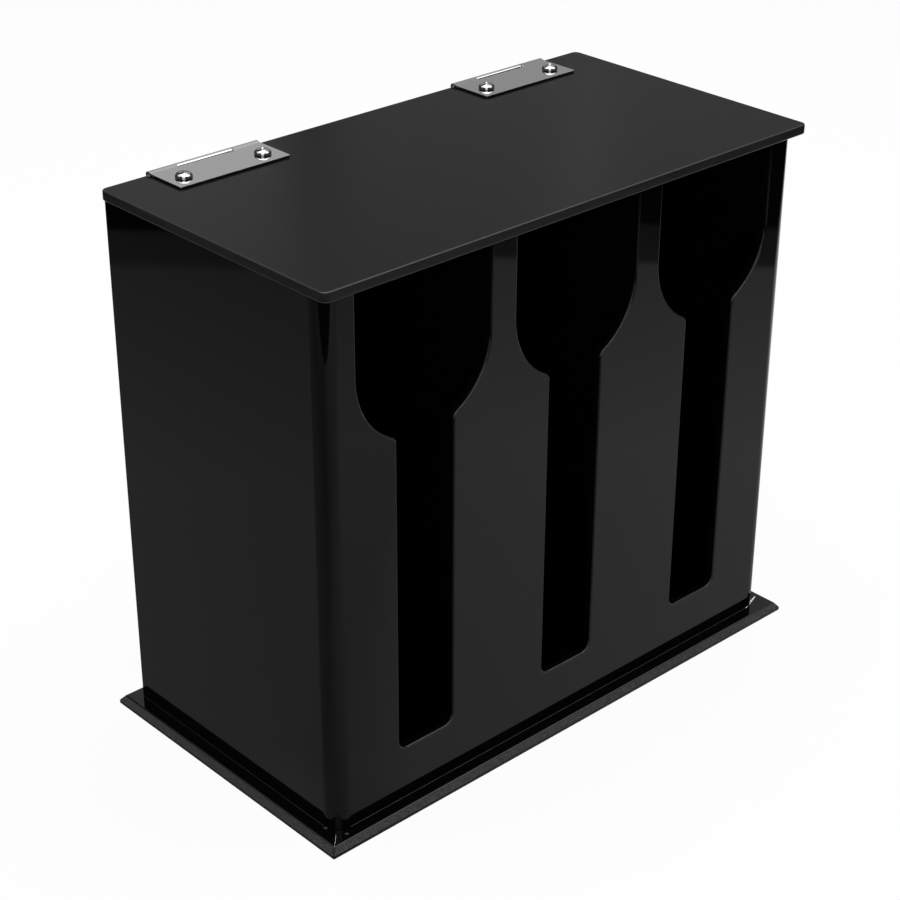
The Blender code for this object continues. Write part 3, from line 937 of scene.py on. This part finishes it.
class HOLDER_OT_wrap(bpy.types.Operator):
    """Front and sides, bent from one slotted sheet"""

    bl_idname = "holder.wrap"
    bl_label = "Front and Sides"

    def execute(self, context):
        holder = context.scene.holder
        sizes = holder.sheets
        side_run = WALL_HIGH.y - WALL_LOW.y - sizes.corner_radius
        front_run = WALL_HIGH.x - WALL_LOW.x - 2 * sizes.corner_radius
        bend = (sizes.corner_radius - sizes.wall / 2, math.pi / 2)
        steps = [(side_run, None), bend, (front_run, None), bend, (side_run, None)]
        path = ((WALL_LOW.x + sizes.wall / 2, WALL_HIGH.y), -math.pi / 2, steps)
        whole = path_length(steps)
        outline = [(0, WALL_LOW.z), (whole, WALL_LOW.z), (whole, WALL_HIGH.z)]
        for step in (1, 0, -1):
            centre = whole / 2 + step * holder.slots.pitch
            outline += slot_notch(holder.slots, centre, WALL_HIGH.z, WALL_LOW.z)
        outline.append((0, WALL_HIGH.z))
        mesh = bent_sheet(outline, path, sizes.wall, lambda x, y, across: (x, y, across))
        # Of all the edges only the slots' are both in the front's thickness and above its foot.
        slot_rear = WALL_LOW.y + sizes.wall + sizes.arris
        slot_foot = WALL_LOW.z + sizes.arris
        round_edges(mesh, holder.slots.arris, lambda point: point.y < slot_rear and point.z > slot_foot)
        round_edges(mesh, sizes.arris)
        mesh.normal_update()
        # Arris faces that lean up and forward take the painted highlight.
        for face in mesh.faces:
            if face.normal.z > ARRIS_TILT and face.normal.y < -ARRIS_TILT:
                face.material_index = HIGHLIGHT_ARRIS
        looks = (polished_cast_acrylic, polished_cut_edge, arris_painted_highlight)
        add_finished("body_wrap", mesh, [material_for(look, holder) for look in looks])
        return {"FINISHED"}


class HOLDER_OT_panels(bpy.types.Operator):
    """Rear panel and dividers"""

    bl_idname = "holder.panels"
    bl_label = "Rear Panel and Dividers"

    def execute(self, context):
        holder = context.scene.holder
        for node in ("rear_panel", "divider_1", "divider_2"):
            low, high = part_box(node)
            outline = [(low.x, low.y), (high.x, low.y), (high.x, high.y), (low.x, high.y)]
            mesh = round_edges(prism(outline, low.z, high.z), holder.sheets.arris)
            add_finished(node, mesh, [material_for(polished_cast_acrylic, holder)])
        return {"FINISHED"}


class HOLDER_OT_lid(bpy.types.Operator):
    """Lid, notched for the hinges' knuckles"""

    bl_idname = "holder.lid"
    bl_label = "Lid"

    def execute(self, context):
        holder = context.scene.holder
        sizes = holder.sheets
        radius = sizes.lid_corner_radius
        outline = rounded_rectangle(LID_LOW[:2], LID_HIGH[:2], radius)
        hinges = holder.hinges
        notch_front = AXIS.y - hinges.bore - hinges.gauge - sizes.notch_depth
        notches = []
        for side in reversed(HINGE_SIDES):
            low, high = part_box(f"{side}_hinge_lid_leaf")
            left = low.x - sizes.notch_end
            right = high.x + sizes.notch_end
            notches += [(right, LID_HIGH.y), (right, notch_front), (left, notch_front), (left, LID_HIGH.y)]
        # The notches go into the rear edge, after three of the outline's four corners.
        corner_points = len(outline) // 4
        outline[3 * corner_points : 3 * corner_points] = notches
        mesh = prism(outline, LID_LOW.z, LID_HIGH.z)
        mesh.normal_update()
        for face in mesh.faces:
            face.material_index = CUT_EDGE if abs(face.normal.z) < math.cos(CORNER_ANGLE) else SHEET_FACE
        round_edges(mesh, sizes.lid_arris)
        mesh.normal_update()
        # Arris faces take the painted highlight.
        for face in mesh.faces:
            if ARRIS_TILT < abs(face.normal.z) < math.cos(ARC_STEP):
                face.material_index = HIGHLIGHT_ARRIS
        looks = (satin_cast_acrylic, sawn_acrylic_edge, arris_painted_highlight)
        add_finished("lid", mesh, [material_for(look, holder) for look in looks])
        return {"FINISHED"}


def hinge_frames():
    """(side, name of the plate, matrix) of each leaf: in it the leaf lies along -Y, outer face up."""
    folded = Matrix.Rotation(math.pi, 4, "Y") @ Matrix.Rotation(-math.pi / 2, 4, "X")
    frames = []
    for side in HINGE_SIDES:
        low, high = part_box(f"{side}_hinge_pin")
        middle = Matrix.Translation(((low.x + high.x) / 2, AXIS.y, AXIS.z))
        frames += [(side, "lid", middle), (side, "rear", middle @ folded)]
    return frames


def leaf_mesh(hinges, spans):
    """Pressed leaf whose rolled edge has knuckles over these spans of its length."""
    rise = hinges.bore - hinges.axis_offset
    radius = hinges.ramp_radius
    angle = hinges.ramp_angle
    slope = (rise - 2 * radius * (1 - math.cos(angle))) / math.sin(angle)
    raised = slope * math.cos(angle) + 2 * radius * math.sin(angle)
    flat = hinges.reach - raised
    steps = [(flat, None), (radius, angle), (slope, None), (radius, -angle)]
    roll = (hinges.bore + hinges.gauge / 2, -hinges.roll_angle)
    start = (-hinges.reach, hinges.axis_offset + hinges.gauge / 2)
    steps.append(roll)
    whole = path_length(steps)
    window = whole - path_length([roll]) - hinges.bore - hinges.gauge - hinges.window_clearance
    half = hinges.length / 2
    corner = hinges.corner_radius
    outline = arc((corner, corner - half), corner, -math.pi, -math.pi / 2)
    edge = -half
    for low, high in spans:
        if low > edge:
            outline += [(window, edge), (window, low)]
        outline += [(whole, low), (whole, high)]
        edge = high
    if edge < half:
        outline += [(window, edge), (window, half)]
    outline += arc((corner, half - corner), corner, math.pi / 2, math.pi)
    path = (start, 0.0, steps)
    return bent_sheet(outline, path, hinges.gauge, lambda y, z, across: (across, y, z))


class HOLDER_OT_hinges(bpy.types.Operator):
    """Hinge leaves and pins"""

    bl_idname = "holder.hinges"
    bl_label = "Hinges"

    def execute(self, context):
        holder = context.scene.holder
        hinges = holder.hinges
        half = hinges.length / 2
        middle = hinges.middle_knuckle / 2
        outer = middle + hinges.knuckle_gap
        spans = {"lid": [(-half, -outer), (outer, half)], "rear": [(-middle, middle)]}
        steel = material_for(pressed_stainless_steel, holder)
        plate = material_for(bright_nickel_plate, holder)
        for side, plate_name, place in hinge_frames():
            mesh = round_edges(leaf_mesh(hinges, spans[plate_name]), hinges.arris)
            add_finished(f"{side}_hinge_{plate_name}_leaf", mesh, [steel, steel], place)
            if plate_name == "lid":
                dome = arc((0, half - hinges.pin_radius), hinges.pin_radius, math.pi / 2, 0)
                profile = dome + [(x, -z) for x, z in reversed(dome)]
                profile[0] = (0, half)
                profile[-1] = (0, -half)
                pin = turned(profile)
                along = Matrix.Rotation(math.pi / 2, 4, "Y")
                add_finished(f"{side}_hinge_pin", pin, [plate], place @ along)
        return {"FINISHED"}


def cross_recess(sizes):
    """Tapered cutter of a cross recess, its open end just over the crown."""
    wing = sizes.recess_width / 2
    slot = sizes.recess_slot / 2
    quarter = [(wing, -slot), (wing, slot), (slot, slot)]
    outline = []
    for turn in range(4):
        cosine = math.cos(turn * math.pi / 2)
        sine = math.sin(turn * math.pi / 2)
        outline += [(x * cosine - y * sine, x * sine + y * cosine) for x, y in quarter]
    top = sizes.head_height + CUT_OVERRUN
    tip = sizes.head_height - sizes.recess_depth
    mesh = bmesh.new()
    crown = [mesh.verts.new((x, y, top)) for x, y in outline]
    point = mesh.verts.new((0, 0, tip))
    mesh.faces.new(crown)
    for first, second in zip(crown, crown[1:] + crown[:1]):
        mesh.faces.new((first, second, point))
    return mesh


def pan_head(sizes):
    """Pan head with its cross recess, seated at height zero."""
    head = sizes.head_diameter / 2
    rim = sizes.head_height * sizes.rim_share
    crown = sizes.head_height - rim
    dome = [(head * across, rim + crown * up) for across, up in arc((0, 0), 1.0, math.pi / 2, 0)]
    profile = [(0, sizes.head_height)] + dome[1:] + [(head, 0), (0, 0)]
    return carved(turned(profile), cross_recess(sizes), "DIFFERENCE")


def add_thread(mesh, radius, pitch, top, bottom):
    """Adds a threaded shank between two heights, with a closed lower end."""
    depth = THREAD_DEPTH * pitch
    rows = round((top - bottom) / pitch * THREAD_ROWS)
    rings = []
    for row in range(rows + 1):
        height = top + (bottom - top) * row / rows
        ring = []
        for step in range(TURNED_STEPS):
            turn = step / TURNED_STEPS
            phase = (row / THREAD_ROWS + turn) % 1
            reach = radius - depth * abs(2 * phase - 1)
            angle = 2 * math.pi * turn
            ring.append(mesh.verts.new((reach * math.cos(angle), reach * math.sin(angle), height)))
        rings.append(ring)
    for upper, lower in zip(rings, rings[1:]):
        for step in range(TURNED_STEPS):
            after = (step + 1) % TURNED_STEPS
            mesh.faces.new((upper[step], upper[after], lower[after], lower[step]))
    mesh.faces.new(rings[0])
    mesh.faces.new(rings[-1])


def hexagon_nut(sizes):
    """Nut with both its ends chamfered, its upper face at height zero."""
    corner = sizes.across_flats / math.sqrt(3)
    flat = sizes.across_flats / 2
    turns = [turn * math.pi / 3 for turn in range(6)]
    outline = [(corner * math.cos(turn), corner * math.sin(turn)) for turn in turns]
    fall = (corner - flat) * math.tan(NUT_CHAMFER)
    past = corner + CUT_OVERRUN
    past_fall = fall + CUT_OVERRUN * math.tan(NUT_CHAMFER)
    bore = sizes.thread_diameter / 2
    low = -sizes.nut_height
    profile = [(0, 0), (flat, 0), (past, -past_fall), (past, low + past_fall), (flat, low), (0, low)]
    nut = carved(prism(outline, low, 0), turned(profile), "INTERSECT")
    hole = turned([(0, CUT_OVERRUN), (bore, CUT_OVERRUN), (bore, low - CUT_OVERRUN), (0, low - CUT_OVERRUN)])
    return carved(nut, hole, "DIFFERENCE")


def fastener_place(node, leaf, rise):
    """Matrix that sets a fastener upright on its leaf, its seat this far under its highest point."""
    low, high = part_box(node)
    inverse = leaf.inverted()
    local = inverse @ ((low + high) / 2)
    local.z = max((inverse @ low).z, (inverse @ high).z) - rise
    return leaf @ Matrix.Translation(local)


class HOLDER_OT_fasteners(bpy.types.Operator):
    """Machine screws and nuts"""

    bl_idname = "holder.fasteners"
    bl_label = "Screws and Nuts"

    def execute(self, context):
        holder = context.scene.holder
        sizes = holder.fasteners
        plate = material_for(bright_nickel_plate, holder)
        for side, plate_name, leaf in hinge_frames():
            for number in (1, 2):
                screw = f"{side}_{plate_name}_screw_{number}"
                place = fastener_place(screw, leaf, sizes.head_height)
                # Each screw stopped at a turn of its own, which its place on the holder gives.
                spin = Matrix.Rotation(noise.noise(place.translation * per_metre(1)) * math.pi, 4, "Z")
                mesh = pan_head(sizes)
                add_thread(mesh, sizes.thread_diameter / 2, sizes.thread_pitch, 0.0, -sizes.length)
                add_finished(screw, mesh, [plate], place @ spin)
                nut = f"{side}_{plate_name}_nut_{number}"
                add_finished(nut, hexagon_nut(sizes), [plate], fastener_place(nut, leaf, 0.0))
        return {"FINISHED"}


def bead(path, start, end, leg_at):
    """Hollow fillet along the outside of a path, between two distances, as a strip of rings."""
    rings = []
    mesh = bmesh.new()
    count = math.ceil((end - start) / BEAD_STEP)
    for index in range(count + 1):
        distance = start + (end - start) * index / count
        x, y, heading = path_point(path, distance)
        leg = leg_at(distance)
        hollow = arc((leg, leg), leg, -math.pi / 2, -math.pi)[::HOLLOW_STRIDE]
        section = [(-BEAD_SINK, 0.0)] + hollow + [(-BEAD_SINK, leg)]
        ring = []
        for out, up in section:
            place = (x + math.sin(heading) * out, y - math.cos(heading) * out, BASE_HIGH.z + up)
            ring.append(mesh.verts.new(place))
        rings.append(ring)
    for first, second in zip(rings, rings[1:]):
        for index in range(len(first)):
            after = (index + 1) % len(first)
            mesh.faces.new((first[index], first[after], second[after], second[index]))
    mesh.faces.new(rings[0])
    mesh.faces.new(rings[-1])
    bmesh.ops.recalc_face_normals(mesh, faces=mesh.faces)
    return mesh


def drop(centre, length, width, height, heading):
    """Flat drop on the base plate, drawn out along a heading from +X towards +Y."""
    mesh = bmesh.new()
    bmesh.ops.create_uvsphere(mesh, u_segments=DROP_STEPS, v_segments=DROP_STEPS // 2, radius=0.5)
    shape = Matrix.Diagonal((length, width, height, 1))
    place = Matrix.Translation((*centre, BASE_HIGH.z)) @ Matrix.Rotation(heading, 4, "Z") @ shape
    bmesh.ops.transform(mesh, matrix=place, verts=mesh.verts)
    return mesh


def run_between(start, end, width):
    """Thin run on the base plate from one place to another."""
    along = end - start
    return drop((start + end) / 2, along.length, width, width, math.atan2(along.y, along.x))


class HOLDER_OT_cement(bpy.types.Operator):
    """Cement that was squeezed out round the case's foot"""

    bl_idname = "holder.cement"
    bl_label = "Cement"

    def execute(self, context):
        holder = context.scene.holder
        cement = holder.cement
        radius = holder.sheets.corner_radius
        side_run = WALL_HIGH.y - WALL_LOW.y - radius
        front_run = WALL_HIGH.x - WALL_LOW.x - 2 * radius
        bend = (radius, math.pi / 2)
        steps = [(side_run, None), bend, (front_run, None), bend, (side_run, None)]
        path = ((WALL_LOW.x, WALL_HIGH.y), -math.pi / 2, steps)

        def thin(distance):
            return cement.leg + cement.wander * noise.noise(Vector((distance / cement.wander_length, 0, 0)))

        dried = material_for(dried_solvent_cement, holder)
        painted_glint = material_for(cement_painted_glint, holder)
        near_bend = path_length(steps[:1])
        past_bend = path_length(steps[:2])
        self.add("side_foot_cement_bead", bead(path, 0.0, near_bend, thin), dried)
        self.add("front_foot_cement_bead", bead(path, past_bend, path_length(steps), thin), dried)
        # The two white runs are painted highlights: a glint by the right bend and a bright line on the left
        # bend's mitre.
        inset = holder.sheets.bevel_width
        leaving, ending = Vector(GLINT_RUN[0]), Vector(GLINT_RUN[1])
        width = cement.glint_width
        self.add("right_bend_cement_glint", run_between(leaving, ending, width), painted_glint)
        outer = Vector((BASE_LOW.x + inset, BASE_LOW.y + inset))
        inner = Vector(WALL_LOW[:2])
        self.add("left_bend_cement_glint", run_between(inner, outer, cement.mitre_width), painted_glint)
        across = cement.drop / 2
        for side, centre in NEAR_DROPS.items():
            mesh = drop(centre, cement.drop, across, across, NEAR_DROP_HEADING)
            self.add(f"left_bend_{side}_cement_drop", mesh, dried)
        return {"FINISHED"}

    def add(self, name, mesh, material):
        """Adds cement that rides with the case."""
        piece = add_object(name, mesh, [material])
        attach(piece, NODE_BODIES["body_wrap"])


# Studio


def add_softbox(name, heading, height, distance, width, tall, brightness):
    """Softbox, aimed at the object, that the camera doesn't see. A brightness of 1 looks white."""
    heading = math.radians(heading)
    height = math.radians(height)
    level = math.cos(height)
    away = Vector((math.sin(heading) * level, math.cos(heading) * level, math.sin(height)))
    light = bpy.data.lights.new(name, "AREA")
    light.shape = "RECTANGLE"
    light.size = width
    light.size_y = tall
    light.energy = brightness * math.pi * width * tall
    lamp = bpy.data.objects.new(name, light)
    lamp.location = (CAD_BOX[0] + CAD_BOX[1]) / 2 + away * distance
    lamp.rotation_mode = "QUATERNION"
    lamp.rotation_quaternion = away.to_track_quat("Z", "Y")
    lamp.visible_camera = False
    bpy.context.scene.collection.objects.link(lamp)


class HOLDER_OT_stage(bpy.types.Operator):
    """Floor, lamps and camera"""

    bl_idname = "holder.stage"
    bl_label = "Studio"

    def execute(self, context):
        holder = context.scene.holder
        studio = holder.studio
        self.paper(holder)
        self.world(studio)
        for *place, brightness in SOFTBOXES:
            add_softbox(*place, brightness * studio.lamps)
        self.camera(context.scene, studio)
        context.scene.view_settings.view_transform = "Standard"
        return {"FINISHED"}

    def paper(self, holder):
        """Floor that runs out of sight on every side."""
        mesh = bmesh.new()
        corners = ((-1, -1), (1, -1), (1, 1), (-1, 1))
        mesh.faces.new([mesh.verts.new((PAPER_HALF * x, PAPER_HALF * y, 0)) for x, y in corners])
        add_object("studio_paper", mesh, [material_for(matt_studio_paper, holder)])

    def world(self, studio):
        """Even light from all round."""
        world = bpy.data.worlds.new("studio_room")
        world.use_nodes = True
        bpy.context.scene.world = world
        background = world.node_tree.nodes["Background"]
        background.inputs["Color"].default_value = linear("#ffffff")
        background.inputs["Strength"].default_value = studio.sky

    def camera(self, scene, studio):
        """Camera at the photograph's viewing angle."""
        heading = studio.camera_heading
        tilt = studio.camera_tilt
        forward = Vector(
            (math.sin(heading) * math.cos(tilt), math.cos(heading) * math.cos(tilt), -math.sin(tilt))
        )
        level = Vector((math.cos(heading), -math.sin(heading), 0))
        right = Matrix.Rotation(-studio.camera_roll, 3, forward) @ level
        upward = right.cross(forward)
        facing = Matrix((right, upward, -forward)).transposed()
        camera = bpy.data.objects.new("camera", bpy.data.cameras.new("camera"))
        camera.matrix_world = Matrix.Translation(studio.camera_place) @ facing.to_4x4()
        camera.data.lens = studio.lens
        camera.data.clip_start = CLIP_START
        scene.collection.objects.link(camera)
        scene.camera = camera


OPERATORS = (
    HOLDER_OT_stage,
    HOLDER_OT_base,
    HOLDER_OT_wrap,
    HOLDER_OT_panels,
    HOLDER_OT_lid,
    HOLDER_OT_hinges,
    HOLDER_OT_fasteners,
    HOLDER_OT_cement,
)


class HOLDER_PT_pieces(bpy.types.Panel):
    """Lists the pieces and their sizes"""

    bl_idname = "HOLDER_PT_pieces"
    bl_label = "Spoon Holder"
    bl_space_type = "VIEW_3D"
    bl_region_type = "UI"
    bl_category = "Spoon Holder"

    def draw(self, context):
        for operator in OPERATORS:
            self.layout.operator(operator.bl_idname)
        holder = context.scene.holder
        for group in ("sheets", "slots", "hinges", "fasteners", "cement", "finish", "studio"):
            values = getattr(holder, group)
            box = self.layout.box()
            box.label(text=group.capitalize())
            for name in values.__annotations__:
                box.prop(values, name)


GROUPS = (SheetSizes, SlotSizes, HingeSizes, FastenerSizes, CementSizes, Finish, Studio, Holder)
CLASSES = GROUPS + OPERATORS + (HOLDER_PT_pieces,)


def register():
    for added in CLASSES:
        bpy.utils.register_class(added)
    bpy.types.Scene.holder = bpy.props.PointerProperty(type=Holder)


def unregister():
    del bpy.types.Scene.holder
    for added in reversed(CLASSES):
        bpy.utils.unregister_class(added)


def main():
    register()
    for operator in OPERATORS:
        group, name = operator.bl_idname.split(".")
        getattr(getattr(bpy.ops, group), name)()


if __name__ == "__main__":
    main()
